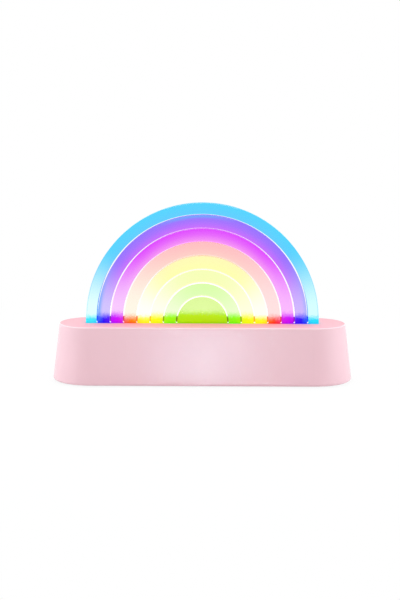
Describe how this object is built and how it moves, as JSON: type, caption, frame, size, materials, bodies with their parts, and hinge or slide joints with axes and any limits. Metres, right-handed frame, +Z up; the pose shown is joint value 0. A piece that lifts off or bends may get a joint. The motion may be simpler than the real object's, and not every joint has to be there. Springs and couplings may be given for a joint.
{
  "type": "rainbow night light",
  "caption": "Night light with a clear half-disc panel cut by arched slots into nested arches, each lit in its own colour from a tapered base with rounded ends.",
  "frame": {"origin": "under the middle of the base, on the plane of the rubber feet", "axes": "+X along the base, +Y from the front to the rear wall with the button, +Z up"},
  "size_m": [0.24, 0.064, 0.1426],
  "materials": {
    "shell_pink": "fine satin moulding",
    "button_pink": "satin",
    "lit_acrylic": "polished clear sheet lit from its foot",
    "clear_acrylic": "polished",
    "white_plastic": "satin",
    "black_plastic": "satin",
    "white_board": "solder mask",
    "green_board": "solder mask",
    "lamp_case": "moulded lamp case with a round window",
    "adhesive": "foam",
    "cell_wrap": "foil pouch",
    "capacitor_can": "sleeved can",
    "steel": "plated",
    "foot_rubber": "soft",
    "lead_red": "insulation",
    "lead_black": "insulation",
    "lead_white": "insulation"
  },
  "bodies": {
    "lamp": {"base_shell": "shell_pink", "bottom_cover": "shell_pink", "rainbow_panel": "lit_acrylic", "charge_light_pipe": "clear_acrylic", "panel_carrier": "white_plastic", "led_socket": "white_plastic", "led_header": "white_plastic", "battery_socket": "white_plastic", "switch_body": "black_plastic", "usb_tongue": "black_plastic", "controller_chip": "black_plastic", "charger_chip": "black_plastic", "led_board": "white_board", "control_board": "green_board", "band_leds": "lamp_case", "charge_led": "lamp_case", "led_tape": "adhesive", "battery_pad": "adhesive", "battery_cell": "cell_wrap", "board_capacitors": "capacitor_can", "cover_screws": "steel", "carrier_screws": "steel", "board_screws": "steel", "usb_socket": "steel", "rubber_feet": "foot_rubber", "battery_lead_positive": "lead_red", "battery_lead_negative": "lead_black", "led_leads": "lead_white"},
    "button": {"power_button": "button_pink", "switch_plunger": "white_plastic"}
  },
  "joints": [
    {"name": "button_press", "type": "slide", "parent": "lamp", "child": "button", "axis": [0, -1, 0], "range_m": [0, 0.002], "stiffness_N_per_m": 800, "springref_m": -0.001}
  ]
}
